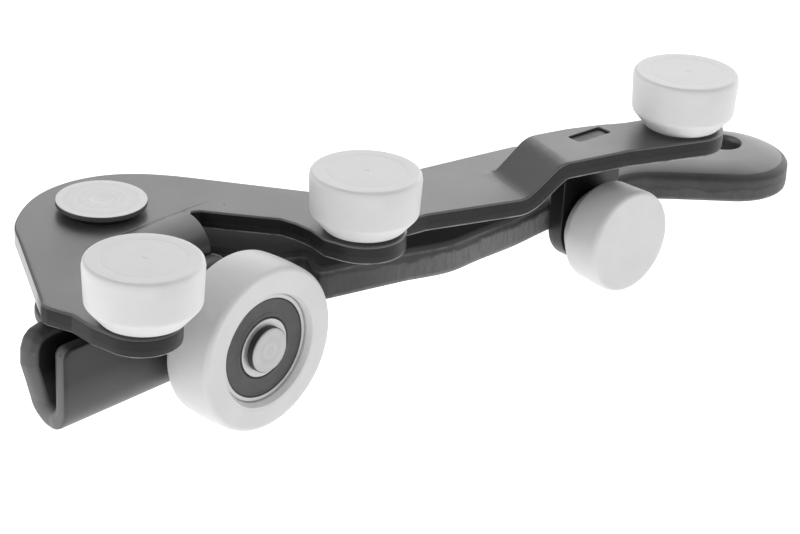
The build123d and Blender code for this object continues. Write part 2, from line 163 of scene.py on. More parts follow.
# places taken from the frame, mm in the layout frame
PIVOT = layout("carriage_swing")
GUIDES = [layout("guide_spin_" + str(i)) for i in (1, 2, 3)]
ARM_BORE = (-ORIGIN.x / MM, -ORIGIN.y / MM)
SUPPORT = layout("support_spin")
LUG_ALONG, LUG_ACROSS = along_across(LUG_AZ, SUPPORT.x, SUPPORT.y)
LUG_ALONG -= ROLLER_H / 2 + ROLLER_LIFT + SHEET / 2
WHEEL = layout("wheel_spin")
WHEEL_ALONG, WHEEL_ACROSS = along_across(WHEEL_AZ, WHEEL.x, WHEEL.y)


# ---------------------------------------------------------------- outlines
def clamp(value):
    """value held between 0 and 1."""
    return min(max(value, 0.0), 1.0)


def arc_points(centre, radius, start, stop, steps):
    """Points on an arc between two angles in degrees."""
    angles = [radians(start + (stop - start) * i / steps) for i in range(steps + 1)]
    return [(centre[0] + radius * cos(a), centre[1] + radius * sin(a)) for a in angles]


def spline(points, start, end):
    """Smooth curve through points about every 1 mm, with the given directions at its ends."""
    p = np.array(points, float)
    h = np.linalg.norm(np.diff(p, axis=0), axis=1)
    n = len(p)
    a = np.eye(n)
    b = np.zeros((n, 2))
    b[0] = np.array(start) / np.linalg.norm(start)
    b[-1] = np.array(end) / np.linalg.norm(end)
    for i in range(1, n - 1):
        a[i, i - 1] = 1 / h[i - 1]
        a[i, i] = 2 / h[i - 1] + 2 / h[i]
        a[i, i + 1] = 1 / h[i]
        b[i] = 3 * ((p[i] - p[i - 1]) / h[i - 1] ** 2 + (p[i + 1] - p[i]) / h[i] ** 2)
    m = np.linalg.solve(a, b)
    out = []
    for i in range(n - 1):
        for u in np.linspace(0, 1, max(2, int(h[i])), endpoint=False):
            w = (2 * u**3 - 3 * u**2 + 1, u**3 - 2 * u**2 + u, 3 * u**2 - 2 * u**3, u**3 - u**2)
            q = w[0] * p[i] + w[1] * h[i] * m[i] + w[2] * p[i + 1] + w[3] * h[i] * m[i + 1]
            out.append((float(q[0]), float(q[1])))
    out.append(tuple(p[-1]))
    return out


def rounded(points, radii, closed=True, segments=6):
    """Replaces corners by arcs, apart from slight ones. radii is one number or one per point."""
    slight, arc_step = radians(14), radians(9)
    n = len(points)
    if not hasattr(radii, "__len__"):
        radii = [radii] * n
    out = []
    for i, point in enumerate(points):
        p = Vector(point)
        to_last = Vector(points[i - 1]) - p
        to_next = Vector(points[(i + 1) % n]) - p
        inner = to_last.angle(to_next, pi)
        turn = pi - inner
        end_point = not closed and i in (0, n - 1)
        if end_point or turn < slight or radii[i] == 0:
            out.append(tuple(p))
            continue
        cut = min(radii[i] * tan(turn / 2), 0.45 * min(to_last.length, to_next.length))
        a = p + to_last.normalized() * cut
        b = p + to_next.normalized() * cut
        radius = cut / tan(turn / 2)
        between = (to_last.normalized() + to_next.normalized()).normalized()
        centre = p + between * (radius / sin(inner / 2))
        first = a - centre
        swing = first.angle_signed(b - centre)
        steps = max(2, min(segments, int(abs(swing) / arc_step) + 1))
        for k in range(steps + 1):
            q = centre + Matrix.Rotation(-swing * k / steps, 2) @ first
            out.append(tuple(q))
    return out


def divided(points, step):
    """The same closed outline with long edges cut into equal lengths and doubled points dropped."""
    out = []
    for i, point in enumerate(points):
        p = Vector(point)
        q = Vector(points[(i + 1) % len(points)])
        count = max(1, int((q - p).length / step + 0.5))
        out += [tuple(p.lerp(q, k / count)) for k in range(count)]
    return [p for i, p in enumerate(out) if (Vector(p) - Vector(out[i - 1])).length > 0.02]


def area(points):
    """Signed area, positive if the outline runs anticlockwise."""
    p = np.array(points)
    q = np.roll(p, -1, 0)
    return 0.5 * float(np.sum(p[:, 0] * q[:, 1] - q[:, 0] * p[:, 1]))


def inset(points, distance, weight=1.0):
    """Moves an outline to its left by mitred offsets, scaled point by point."""
    p = np.array(points)
    d1 = p - np.roll(p, 1, 0)
    d2 = np.roll(p, -1, 0) - p
    d1 /= np.linalg.norm(d1, axis=1)[:, None]
    d2 /= np.linalg.norm(d2, axis=1)[:, None]
    n1 = np.stack([-d1[:, 1], d1[:, 0]], 1)
    n2 = np.stack([-d2[:, 1], d2[:, 0]], 1)
    mitre = (n1 + n2) / np.maximum(1 + np.sum(n1 * n2, 1), 0.5)[:, None]
    return p + mitre * distance * weight


def inside(points, outline):
    """For each point, whether it lies inside a closed outline."""
    x, y = np.array(points, float).T
    hit = np.zeros(len(x), bool)
    for (x1, y1), (x2, y2) in zip(outline, outline[1:] + outline[:1]):
        if y1 == y2:
            continue
        crosses = (y1 > y) != (y2 > y)
        hit ^= crosses & (x < (x2 - x1) * (y - y1) / (y2 - y1) + x1)
    return hit


# ---------------------------------------------------------------- mesh builders
# A sheet's depth runs from 0 on its upper face to 1 on its lower one. Past CUT_TO it is the
# lower face. Down to UPPER_CORNER, mm, its edge grows deeper where the corner is softened.
CUT_TO = 0.98
UPPER_CORNER = 0.5
SHARP = radians(32.0)


def finished(name, verts, faces, materials, body, nodes, depth=None, place=None, cut_from=0.10):
    """Makes the piece, shades it, ties it to its body and hides the CAD nodes it stands for.

    A sheet has two materials: one for its faces and one for its edge from depth cut_from.
    """
    mesh = bpy.data.meshes.new(name)
    mesh.from_pydata([tuple(v) for v in verts], [], faces)
    bm = bmesh.new()
    bm.from_mesh(mesh)
    bmesh.ops.recalc_face_normals(bm, faces=bm.faces)
    bm.to_mesh(mesh)
    bm.free()
    if depth is not None:
        layer = mesh.attributes.new("depth", "FLOAT", "POINT")
        layer.data.foreach_set("value", [float(d) for d in depth])
        for face in mesh.polygons:
            middle = sum(depth[i] for i in face.vertices) / len(face.vertices)
            face.material_index = 1 if cut_from < middle < CUT_TO else 0
    mesh.shade_smooth()
    mesh.set_sharp_from_angle(angle=SHARP)
    for material in materials:
        mesh.materials.append(material)
    piece = bpy.data.objects.new(name, mesh)
    if place is not None:
        piece.matrix_world = place
    bpy.context.scene.collection.objects.link(piece)
    weighted = piece.modifiers.new("normals", "WEIGHTED_NORMAL")
    weighted.keep_sharp = True
    weighted.weight = 60
    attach(piece, body)
    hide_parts(*nodes)


def triangulated(loops, points):
    """Triangles inside the first loop and outside the others, as places in loops + points."""
    flat, edges = [], []
    for loop in loops:
        start = len(flat)
        flat += loop
        edges += [(start + i, start + (i + 1) % len(loop)) for i in range(len(loop))]
    flat = [Vector(p) for p in flat + points]
    made, _, triangles, origin, _, _ = delaunay_2d_cdt(flat, edges, [], 0, 1e-5)
    centres = [sum((made[i] for i in t), Vector((0, 0))) / 3 for t in triangles]
    keep = inside(centres, loops[0])
    for hole in loops[1:]:
        keep &= ~inside(centres, hole)
    out = []
    for t, ok in zip(triangles, keep):
        ids = [origin[i][0] if origin[i] else None for i in t]
        a, b, c = (made[i] for i in t)
        real = abs((b - a).cross(c - a)) > 1e-5
        if ok and real and None not in ids and len(set(ids)) == 3:
            out.append(ids)
    return out


def sheet(outer, holes, rim, inner_points, bend, soften=None):
    """Verts, faces and depth of a plate cut from an outline and then bent.

    rim runs from the top face to the bottom face as (inset, depth) pairs, mm, and
    soften gives the factor by which the upper corner grows at a point of the outline.
    """
    loops = [outer if area(outer) > 0 else outer[::-1]]
    loops += [hole if area(hole) < 0 else hole[::-1] for hole in holes]
    verts, faces, tops, bottoms, cap = [], [], [], [], []
    for loop in loops:
        rings = []
        weight = np.array([[soften(x, y) if soften else 1.0] for x, y in loop])
        for distance, deep in rim:
            start = len(verts)
            growth = 0.6 if deep < UPPER_CORNER else 0.0
            heights = deep * (1 + growth * np.maximum(weight[:, 0] - 1, 0))
            verts += [(x, y, z) for (x, y), z in zip(inset(loop, distance, weight), heights)]
            rings.append(range(start, len(verts)))
        for upper, lower in zip(rings, rings[1:]):
            for i in range(len(loop)):
                j = (i + 1) % len(loop)
                faces.append((upper[i], lower[i], lower[j], upper[j]))
        cap.append([(v[0], v[1]) for v in verts[rings[0][0]:rings[0][-1] + 1]])
        tops += rings[0]
        bottoms += rings[-1]
    room = max(distance for distance, _ in rim) + 1.0
    clear = inside(inner_points, [tuple(p) for p in inset(loops[0], room)])
    for loop in loops[1:]:
        clear &= ~inside(inner_points, [tuple(p) for p in inset(loop, room)])
    kept = [tuple(p) for p, ok in zip(inner_points, clear) if ok]
    deep = rim[-1][1]
    first = len(verts)
    verts += [(x, y, 0.0) for x, y in kept]
    second = len(verts)
    verts += [(x, y, deep) for x, y in kept]
    top_id = tops + list(range(first, second))
    bottom_id = bottoms + list(range(second, len(verts)))
    for ids in triangulated(cap, kept):
        faces.append([top_id[i] for i in ids])
        faces.append([bottom_id[i] for i in reversed(ids)])
    depth = [v[2] / deep for v in verts]
    return [bend(*v) for v in verts], faces, depth


def turned(profile, steps):
    """Verts and faces of a solid turned about local Z from (radius, height) points."""
    verts, faces, rings = [], [], []
    for r, z in profile:
        if r < 1e-6:
            rings.append([len(verts)])
            verts.append((0, 0, z * MM))
            continue
        rings.append(list(range(len(verts), len(verts) + steps)))
        for k in range(steps):
            a = 2 * pi * k / steps
            verts.append((r * cos(a) * MM, r * sin(a) * MM, z * MM))
    pairs = list(zip(rings, rings[1:]))
    if len(rings[0]) > 1:
        pairs.append((rings[-1], rings[0]))
    for a, b in pairs:
        for k in range(steps):
            n = (k + 1) % steps
            if len(a) == 1 and len(b) > 1:
                faces.append((a[0], b[k], b[n]))
            elif len(b) == 1 and len(a) > 1:
                faces.append((a[k], b[0], a[n]))
            elif len(a) > 1:
                faces.append((a[k], b[k], b[n], a[n]))
    return verts, faces


def lathe(name, node, body, material, place, corners, steps=144):
    """A turned piece from (radius, height) or (radius, height, fillet) corners, mm along local Z."""
    points = [(c[0], c[1]) for c in corners]
    radii = [c[2] if len(c) > 2 else 0.0 for c in corners]
    verts, faces = turned(rounded(points, radii, corners[0][0] > 1e-6, 7), steps)
    finished(name, verts, faces, [material], body, [node], place=place)


def upright(x, y, z):
    """Local Z straight up from a layout point."""
    return Matrix.Translation(row(x, y, z))


def facing(az, across, height, along):
    """Local Z along a level heading, local X across it, local Y up."""
    a = radians(az)
    axes = Matrix(((-sin(a), 0, cos(a)), (cos(a), 0, sin(a)), (0, 1, 0))).to_4x4()
    x, y = plan(az, along, across)
    return Matrix.Translation(row(x, y, height)) @ axes


# ---------------------------------------------------------------- materials
class Graph:
    """A node tree and short calls for the nodes in it, which give back the node's result."""

    def __init__(self, tree):
        self.tree = tree

    def add(self, kind, inputs=(), **settings):
        """Makes a node and gives back the node itself."""
        node = self.tree.nodes.new(kind)
        for key, value in settings.items():
            setattr(node, key, value)
        for key, value in dict(inputs).items():
            self.put(node.inputs[key], value)
        return node

    def put(self, socket, value):
        if isinstance(value, bpy.types.NodeSocket):
            self.tree.links.new(value, socket)
        elif value is not None:
            socket.default_value = value

    def math(self, operation, a, b=None):
        node = self.add("ShaderNodeMath", operation=operation)
        self.put(node.inputs[0], a)
        self.put(node.inputs[1], b)
        return node.outputs[0]

    def times(self, value, *factors):
        for factor in factors:
            value = self.math("MULTIPLY", value, factor)
        return value

    def plus(self, a, b):
        return self.math("ADD", a, b)

    def minus(self, a, b):
        return self.math("SUBTRACT", a, b)

    def spread(self, value, low, high, to_low=0.0, to_high=1.0, curve="LINEAR"):
        """value between low and high as a number between to_low and to_high."""
        inputs = {"Value": value, "From Min": low, "From Max": high, "To Min": to_low, "To Max": to_high}
        node = self.add("ShaderNodeMapRange", inputs, clamp=True, interpolation_type=curve)
        return node.outputs["Result"]

    def split(self, vector):
        return self.add("ShaderNodeSeparateXYZ", {0: vector}).outputs

    def from_axis(self, x, y):
        """Distance from local Z."""
        return self.math("SQRT", self.plus(self.math("POWER", x, 2.0), self.math("POWER", y, 2.0)))


class Look(Graph):
    """A procedural material."""

    def __init__(self, name, metallic=0.0, **sockets):
        self.material = bpy.data.materials.new(name)
        self.material.use_nodes = True
        super().__init__(self.material.node_tree)
        self.shader = self.tree.nodes["Principled BSDF"]
        self.shader.inputs["Metallic"].default_value = metallic
        for key, value in sockets.items():
            self.shader.inputs[key.replace("_", " ")].default_value = value
        self.place = self.add("ShaderNodeTexCoord").outputs["Object"]

    def noise(self, scale, detail=4.0, rough=0.55, stretch=None, where=None):
        where = where or self.place
        if stretch:
            where = self.add("ShaderNodeMapping", {"Vector": where, "Scale": stretch}).outputs[0]
        inputs = {"Vector": where, "Scale": scale, "Detail": detail, "Roughness": rough}
        return self.add("ShaderNodeTexNoise", inputs).outputs["Fac"]

    def mix(self, factor, a, b):
        """A mix of two colours, whose sockets are numbers 6 and 7 of the node."""
        inputs = {"Factor": factor, 6: a, 7: b}
        return self.add("ShaderNodeMix", inputs, data_type="RGBA").outputs[2]

    def grey(self, value):
        return self.add("ShaderNodeCombineColor", {0: value, 1: value, 2: value}).outputs[0]

    def depth(self):
        """A sheet's depth attribute, written by finished()."""
        return self.add("ShaderNodeAttribute", attribute_name="depth").outputs["Fac"]

    def bump(self, height, distance, after=None):
        inputs = {"Height": height, "Distance": distance, "Strength": 1.0, "Normal": after}
        return self.add("ShaderNodeBump", inputs).outputs["Normal"]

    def finish(self, color, rough, normal=None):
        self.put(self.shader.inputs["Base Color"], color)
        self.put(self.shader.inputs["Roughness"], rough)
        self.put(self.shader.inputs["Normal"], normal)
        return self.material


def rgb(value, tint=(1.0, 1.0, 1.0)):
    """A grey, or a tinted one, as a colour."""
    return tuple(value * t for t in tint) + (1.0,)


def tool_line(look, az, along, across_from, across_to):
    """Where the sheet is creased, a fine line on the upper face straight across a heading, mm: the mask of
    a painted shade line and of a groove.
    """
    place = look.add("ShaderNodeVectorMath", {0: look.place, 1: ORIGIN}, operation="SUBTRACT")
    x, y, z = look.split(place.outputs[0])
    c, s = cos(radians(az)), sin(radians(az))
    fade = 3
    here_along = look.plus(look.times(x, c), look.times(y, s))
    here_across = look.minus(look.times(y, c), look.times(x, s))
    off = look.math("ABSOLUTE", look.minus(here_along, along * MM))
    line = look.spread(off, 0.10 * MM, 0.34 * MM, 1.0, 0.0)
    for edge, before, past in ((across_from, 0.0, 1.0), (across_to, 1.0, 0.0)):
        end = look.spread(here_across, (edge - fade) * MM, (edge + fade) * MM, before, past)
        line = look.times(line, end)
    return look.times(line, look.spread(z, -0.6 * MM, -0.3 * MM))


def coated_steel(name, base, rough, ior=1.9, shift=None, dull=0.0, fold=None):
    """Satin coating on rolled sheet: orange peel, clouding, a few light specks and dark pits.

    shift is (axis, from, to, factor, factor), a slow change of tone across the part, m,
    which paints light and shade: painted shade low down and under other parts, and painted
    floor reflection low on the bracket; dull is how much rougher the coating is where that
    change starts. fold is what the crease-line function takes; its line is painted shade.
    """
    look = Look(name, IOR=ior)
    cloud = look.noise(55.0, 5.0, 0.6)
    fine = look.noise(1500.0, 3.0, 0.6)
    pale = look.spread(cloud, 0.3, 0.75, 0.85, 1.2)
    speck = look.spread(look.noise(800.0, 2.0, 0.5), 0.70, 0.78, 0.0, 0.8)
    pit = look.spread(look.noise(420.0, 2.0, 0.5), 0.20, 0.235)
    value = look.times(base, look.plus(pale, speck), look.spread(pit, 0.0, 1.0, 0.2, 1.0))
    roughness = look.spread(cloud, 0.25, 0.8, rough - 0.05, rough + 0.07)
    # painted light and shade: the tone scaled along one axis of the part
    if shift:
        axis, low, high, *factors = shift
        place = look.split(look.place)[axis]
        value = look.times(value, look.spread(place, low, high, *factors))
        roughness = look.plus(roughness, look.spread(place, low, high, dull, 0.0))
    skin = look.bump(pit, 0.12 * MM, look.bump(fine, 0.010 * MM))
    if fold:
        line = tool_line(look, *fold)
        # painted shade: the colour darkened along the crease line, down to 0.3
        value = look.times(value, look.spread(line, 0.0, 1.0, 1.0, 0.3))
        skin = look.bump(line, -0.10 * MM, skin)
    return look.finish(look.grey(value), roughness, look.bump(look.noise(260.0, 3.0), 0.02 * MM, skin))


def cut_steel(name, base, rough, streaks, rim_light, ior=1.42, end_from=None, edge_highlight_to=None):
    """Sheared edge: a smooth band above, a torn band below and a painted highlight along the lower corner.

    Past end_from along the row frame's X the smooth band is the wider and lighter one,
    and before it the upper corner carries the painted highlight as well. Below the X given
    last, at the left end, the edge is painted much lighter: a painted reflection of the surround.
    """
    look = Look(name, IOR=ior)
    split = 0.55
    tear = look.noise(1100.0, 7.0, 0.75, stretch=(1.0, 1.0, 0.22))
    wave = look.noise(110.0, 6.0, 0.7)
    line = look.plus(look.depth(), look.times(look.minus(wave, 0.5), 0.6))
    # the next two: patchy strength and place of the painted highlight along the lower corner
    corner_highlight_patches = look.spread(look.noise(260.0, 4.0), 0.35, 0.6, 0.35, 1.0)
    rim = look.spread(look.depth(), 0.88, 0.95)
    smooth = 1.0
    along = look.split(look.place)[0]
    if end_from is not None:
        end_to = end_from + 0.02
        line = look.minus(line, look.spread(along, end_from, end_to, -0.22, 0.04))
        smooth = look.spread(along, end_from, end_to, 1.0, 1.6)
        tail = look.spread(along, end_from, end_to, streaks, 0.3 * streaks)
        streaks = look.times(tail, look.spread(along, end_from - 0.045, end_from - 0.02, 0.15, 1.0))
        # before end_from the upper corner gets the painted highlight too
        before = look.spread(along, end_from, end_to, 1.0, 0.0)
        rim = look.plus(rim, look.times(look.spread(look.depth(), 0.15, 0.25, 1.0, 0.0), before))
    torn = look.spread(line, split - 0.05, split + 0.09)
    groove = look.spread(look.math("ABSOLUTE", look.minus(line, split)), 0.0, 0.05, 0.7, 1.0)
    value = look.times(base, look.spread(look.noise(120.0, 5.0), 0.3, 0.7, 0.75, 1.25))
    value = look.times(value, look.spread(torn, 0.0, 1.0, smooth, 1.0))
    torn = look.times(torn, streaks)
    value = look.times(look.plus(value, look.times(torn, tear, base * 4.0)), groove)
    # painted highlight along the corners, of strength rim_light
    value = look.plus(value, look.times(rim, corner_highlight_patches, rim_light))
    # painted reflection: the edge made much lighter at the left end, below the given X
    if edge_highlight_to is not None:
        edge_highlight = look.spread(look.noise(300.0, 5.0), 0.3, 0.7, 0.8, 1.0)
        edge_highlight = look.times(look.spread(along, edge_highlight_to - 0.002, edge_highlight_to, 0.40, 0.0), edge_highlight)
        value = look.plus(value, edge_highlight)
    roughness = look.plus(look.spread(wave, 0.3, 0.7, rough - 0.08, rough + 0.06), look.times(torn, 0.1))
    skin = look.bump(look.noise(1500.0, 3.0), 0.02 * MM)
    return look.finish(look.grey(value), roughness, look.bump(look.times(torn, tear), 0.22 * MM, skin))


def nylon(name):
    """Natural moulded nylon: translucent, softly mottled, with faint scuffs."""
    look = Look(name, IOR=1.5, Subsurface_Weight=0.28, Subsurface_Scale=0.0022)
    look.shader.inputs["Subsurface Radius"].default_value = (1.0, 0.95, 0.85)
    cloud = look.noise(70.0, 5.0, 0.6)
    fine = look.noise(1300.0, 3.0, 0.55)
    scuff = look.spread(look.noise(300.0, 6.0, 0.7, stretch=(1.0, 1.0, 5.0)), 0.60, 0.78)
    value = look.spread(cloud, 0.3, 0.7, 0.62, 0.69)
    color = look.mix(look.times(scuff, 0.2), look.grey(value), rgb(0.52))
    rough = look.spread(cloud, 0.3, 0.7, 0.36, 0.50)
    skin = look.bump(look.noise(210.0, 4.0), 0.04 * MM, look.bump(fine, 0.010 * MM))
    return look.finish(color, rough, look.bump(scuff, 0.02 * MM, skin))


def turned_metal(name, value, rough, ring_scale=900.0, painted_shade_from=None, painted_shade_below=None, metallic=1.0):
    """Machined steel: fine turning rings about the local axis and dull patches.

    Beyond the first radius given and under the height given, in mm, the tone is painted
    dark (to 0.12) and near black (to 0.04): painted shade on a head's side, under a head and round a pin's
    end.
    """
    look = Look(name, metallic=metallic)
    x, y, z = look.split(look.place)
    radius = look.from_axis(x, y)
    where = look.add("ShaderNodeCombineXYZ", {0: radius, 1: look.times(z, 0.6)}).outputs[0]
    rings = look.noise(ring_scale, 5.0, 0.7, where=where)
    patch = look.noise(190.0, 4.0, 0.6)
    tone = look.times(value, look.spread(look.plus(rings, patch), 0.7, 1.3, 0.84, 1.06))
    # painted shade: the tone made dark past the given radius
    if painted_shade_from:
        tone = look.times(tone, look.spread(radius, painted_shade_from * MM, (painted_shade_from + 0.12) * MM, 1.0, 0.12))
    # painted shade: the tone made near black under the given height
    if painted_shade_below:
        tone = look.times(tone, look.spread(z, (painted_shade_below - 0.1) * MM, painted_shade_below * MM, 0.04, 1.0))
    roughness = look.spread(patch, 0.3, 0.7, rough - 0.06, rough + 0.08)
    skin = look.bump(look.noise(1400.0, 2.0), 0.01 * MM, look.bump(rings, 0.04 * MM))
    return look.finish(look.grey(tone), roughness, skin)


def seal_rubber(name):
    """Moulded rubber whose inner and outer edges are painted near black: painted shade in the gaps beside
    the rings.
    """
    look = Look(name, IOR=1.5)
    cloud = look.noise(240.0, 4.0, 0.6)
    fine = look.noise(2600.0, 3.0, 0.7)
    value = look.spread(look.plus(cloud, look.times(fine, 0.5)), 0.5, 1.0, 0.045, 0.085)
    x, y, _ = look.split(look.place)
    off_centre = look.math("ABSOLUTE", look.minus(look.from_axis(x, y), 9.5 * MM))
    # painted shade: more than 2.15 mm from a radius of 9.5 mm, at the seal's edges, the tone drops to 0.15
    value = look.times(value, look.spread(off_centre, 2.0 * MM, 2.15 * MM, 1.0, 0.15))
    skin = look.bump(cloud, 0.04 * MM, look.bump(fine, 0.03 * MM))
    return look.finish(look.grey(value), look.spread(cloud, 0.3, 0.7, 0.48, 0.62), skin)


def plain_moulding(name, value, rough, metallic=0.0, tint=(1.0, 1.0, 1.0)):
    """Small hidden parts: an even colour with clouding and a fine skin."""
    look = Look(name, metallic=metallic)
    cloud = look.noise(260.0, 4.0)
    color = look.mix(look.spread(cloud, 0.3, 0.7), rgb(value * 0.85, tint), rgb(value * 1.12, tint))
    skin = look.bump(look.noise(1500.0, 3.0), 0.02 * MM)
    return look.finish(color, look.spread(cloud, 0.3, 0.7, rough - 0.05, rough + 0.06), skin)


# Plate: the tone is painted down to a fifth from 0.4 mm to 2.2 mm under the upper face, painted shade on
# the flange's bend and the lower face. The fold line is painted darker, painted shade in the crease.
PLATE = coated_steel(
    "plate_coating", 0.050, 0.40,
    shift=("Z", ORIGIN.z - 2.2 * MM, ORIGIN.z - 0.4 * MM, 0.2, 1.0),
    fold=(WHEEL_AZ, FLANGE_OUT - FLANGE_R - 0.9, FLANGE_LEFT - 4, FLANGE_RIGHT + 7),
)
# Plate edge: painted highlight along its lower corner, and below X = -0.1585 m, at the left end, a much
# lighter band, a painted reflection of the bright surround.
PLATE_CUT = cut_steel("plate_cut", 0.010, 0.42, 0.3, 0.30, 1.36, edge_highlight_to=-0.1585)
# Arm: the tone is painted down to 0.3 below X = -0.06 m, towards the pivot end, painted shade where the arm
# lies under the plate; it is rougher there as well.
ARM = coated_steel("arm_coating", 0.028, 0.38, shift=("X", -0.06, -0.03, 0.3, 1.0), dull=0.42)
# Arm edge: painted highlight along its corners, on the upper one only on the pivot side of end_from.
ARM_CUT = cut_steel("arm_cut", 0.034, 0.45, 1.8, 0.10, end_from=-0.045)
# Bracket: coating and edge are painted lighter towards the bottom, the coating up to six times, a painted
# reflection of the white floor; darker towards the top.
BRACKET = coated_steel("bracket_coating", 0.018, 0.40, 1.52, ("Z", -0.017, -0.004, 6.0, 0.5))
BRACKET_CUT = coated_steel("bracket_edge", 0.065, 0.42, 1.6, ("Z", -0.017, 0.004, 1.8, 0.6))
LUG = coated_steel("lug_coating", 0.006, 0.28, 1.5)
LUG_CUT = cut_steel("lug_cut", 0.010, 0.35, 0.3, 0.05)
NYLON = nylon("roller_nylon")
# Rivet: the head's side is painted dark and all under 1.5 mm near black, painted shade on the side and in
# the gap under the head.
RIVET = turned_metal("rivet_face", 0.62, 0.5, painted_shade_from=RIVET_HEAD_R - 0.12, painted_shade_below=1.5, metallic=0.4)
PIN = turned_metal("pin_steel", 0.55, 0.42, metallic=0.7)
# Wheel pin: past 5.2 mm its end's side is painted dark, painted shade beside the inner ring.
AXLE = turned_metal("axle_steel", 0.49, 0.42, painted_shade_from=5.2, metallic=0.5)
RING = turned_metal("bearing_steel", 0.55, 0.38, 500.0, metallic=0.7)
SEAL = seal_rubber("seal_rubber")
WEAR_RING = plain_moulding("wear_ring_plastic", 0.03, 0.5)
CUP = plain_moulding("pivot_washer_coating", 0.03, 0.42)
BRONZE = plain_moulding("bush_bronze", 0.5, 0.35, 1.0, (1.0, 0.76, 0.45))

# ---------------------------------------------------------------- cut edges
# (inset, depth) of the rings of points round a sheet, from its upper face to its lower one, mm
PLATE_RIM = [(0.46, 0.0), (0.28, 0.02), (0.14, 0.08), (0.04, 0.2), (0.0, 0.42)]
PLATE_RIM += [(0.0, 1.6), (0.0, 2.6), (0.02, 3.5), (0.05, 4.05), (0.15, 4.32), (0.30, 4.45), (0.52, SHEET)]
BRACKET_RIM = [(1.0, 0.0), (0.62, 0.06), (0.32, 0.22), (0.10, 0.52), (0.0, 0.95), (0.0, 1.5), (0.0, 2.1)]
BRACKET_RIM += [(0.08, 2.7), (0.35, 3.35), (0.80, 3.9), (1.35, 4.3), (2.0, SHEET)]
LUG_RIM = [(0.30, 0.0), (0.14, 0.04), (0.04, 0.14), (0.0, 0.32)]
LUG_RIM += [(0.0, 2.2), (0.0, 4.2), (0.08, 4.42), (0.25, SHEET)]
ARM_RIM = [(8.6, 0.0), (7.2, 0.07), (5.9, 0.20), (4.7, 0.38), (3.6, 0.61), (2.6, 0.89)]
ARM_RIM += [(1.7, 1.22), (0.9, 1.62), (0.35, 2.1), (0.05, 2.6)]
ARM_RIM += [(0.0, 3.2 + 0.54 * k) for k in range(8)]
ARM_RIM += [(0.03, 7.55), (0.10, 7.90), (0.26, 8.12), (0.6, ARM_T)]


def grid(az, low, high, step_along, step_across):
    """Points on a grid turned to a heading, between two plan corners."""
    out = []
    k = low[0]
    while k <= high[0]:
        t = low[1]
        while t <= high[1]:
            out.append(plan(az, k, t))
            t += step_across
        k += step_along
    return out


# ---------------------------------------------------------------- carriage plate
# The flange's bend starts at FLANGE_K along the wheel's heading. Over BEND_EASE beside its left
# end the sheet eases into it. LOBE is the tongue that stays on the lower flat past the climb.
FLANGE_K = FLANGE_OUT - FLANGE_R
FLANGE_LENGTH = FLANGE_R * pi / 2 - FLANGE_R - FLANGE_BOTTOM
BEND_EASE = 3.0
CREASE = 0.10
CREASE_HALF = 0.8
LOBE = [(27.4, 36.4), (29.7, 36.6), (41.4, 45.4), (50.0, 50.0), (45.0, 62.0), (14.0, 60.0)]


def plate_outline():
    """Flat blank of the plate, with the flange folded out, from the back edge clockwise."""
    loop = [(-41.0, 24.2), (-13.0, 19.6), (-8.5, 20.6), (-4.0, 24.2), (12.7, 37.0)]
    loop += [(27.1, 47.7), (35.6, 53.9)]
    loop += [(39.0, 54.2), (41.6, 50.6), (41.0, 46.0), (30.2, 37.4), (29.4, 36.0)]
    loop += [(40.7, 44.3), (47.0, 48.2), (56.2, 52.4), (62.5, 54.8)]
    loop += arc_points((GUIDES[2].x + 0.9, GUIDES[2].y + 0.1), 9.7, 157.0, -68.0, 24)
    loop += [(62.6, 36.8), (47.9, 27.6), (36.9, 21.2), (14.5, 10.1)]
    loop += arc_points(GUIDES[1], 10.0, 32.0, -118.0, 18)
    loop += [(-8.8, -6.6), (-12.2, -1.9), (-15.8, 1.2), (-19.4, 3.3), (-23.6, 3.7)]
    loop += [(-31.5, 4.6), (-38.0, 5.5)]
    loop += [plan(WHEEL_AZ, FLANGE_K, FLANGE_RIGHT), plan(WHEEL_AZ, FLANGE_K + FLANGE_LENGTH, FLANGE_RIGHT)]
    loop += [plan(WHEEL_AZ, FLANGE_K + FLANGE_LENGTH, FLANGE_LEFT), plan(WHEEL_AZ, FLANGE_K, FLANGE_LEFT)]
    loop += [(-42.0, -33.0), (-38.2, -43.5)]
    loop += arc_points((GUIDES[0].x - 0.5, GUIDES[0].y - 0.3), 9.0, 40.0, -128.0, 18)
    loop += [(-55.0, -55.8), (-59.7, -50.9), (-65.4, -48.2), (-66.9, -46.9), (-67.3, -44.6), (-78.3, -10.5)]
    back = [(-78.3, -10.5), (-79.0, -3.0), (-76.3, 9.8), (-70.2, 18.3)]
    back += [(-61.5, 23.6), (-50.0, 25.2), (-41.0, 24.2)]
    loop = rounded(loop, 1.6, closed=False)
    return divided(loop + spline(back, (-0.32, 1.0), (1.0, -0.165))[1:-1], 1.0)


def filleted_step(s, start, low_r, high_r):
    """Height at s, mm along the climb's heading, of a climb of RAISE with rounded corners."""
    slope = atan2(RAISE, JOG_RUN)
    a = start - low_r * tan(slope / 2)
    b = start + JOG_RUN + high_r * tan(slope / 2)
    if s <= a:
        return 0.0
    if s >= b:
        return RAISE
    if s < a + low_r * sin(slope):
        return low_r - sqrt(low_r**2 - (s - a) ** 2)
    if s > b - high_r * sin(slope):
        return RAISE - high_r + sqrt(high_r**2 - (b - s) ** 2)
    return (s - start) * tan(slope)


def flange_bend(k, t, deep):
    """A point of the blank past FLANGE_K, bent down into the flange."""
    s = k - FLANGE_K
    turn = min(s / FLANGE_R, pi / 2)
    beyond = max(0.0, s - FLANGE_R * pi / 2)
    radius = FLANGE_R - deep
    x, y = plan(WHEEL_AZ, FLANGE_K + radius * sin(turn), t)
    return row(x, y, radius * cos(turn) - FLANGE_R - beyond)


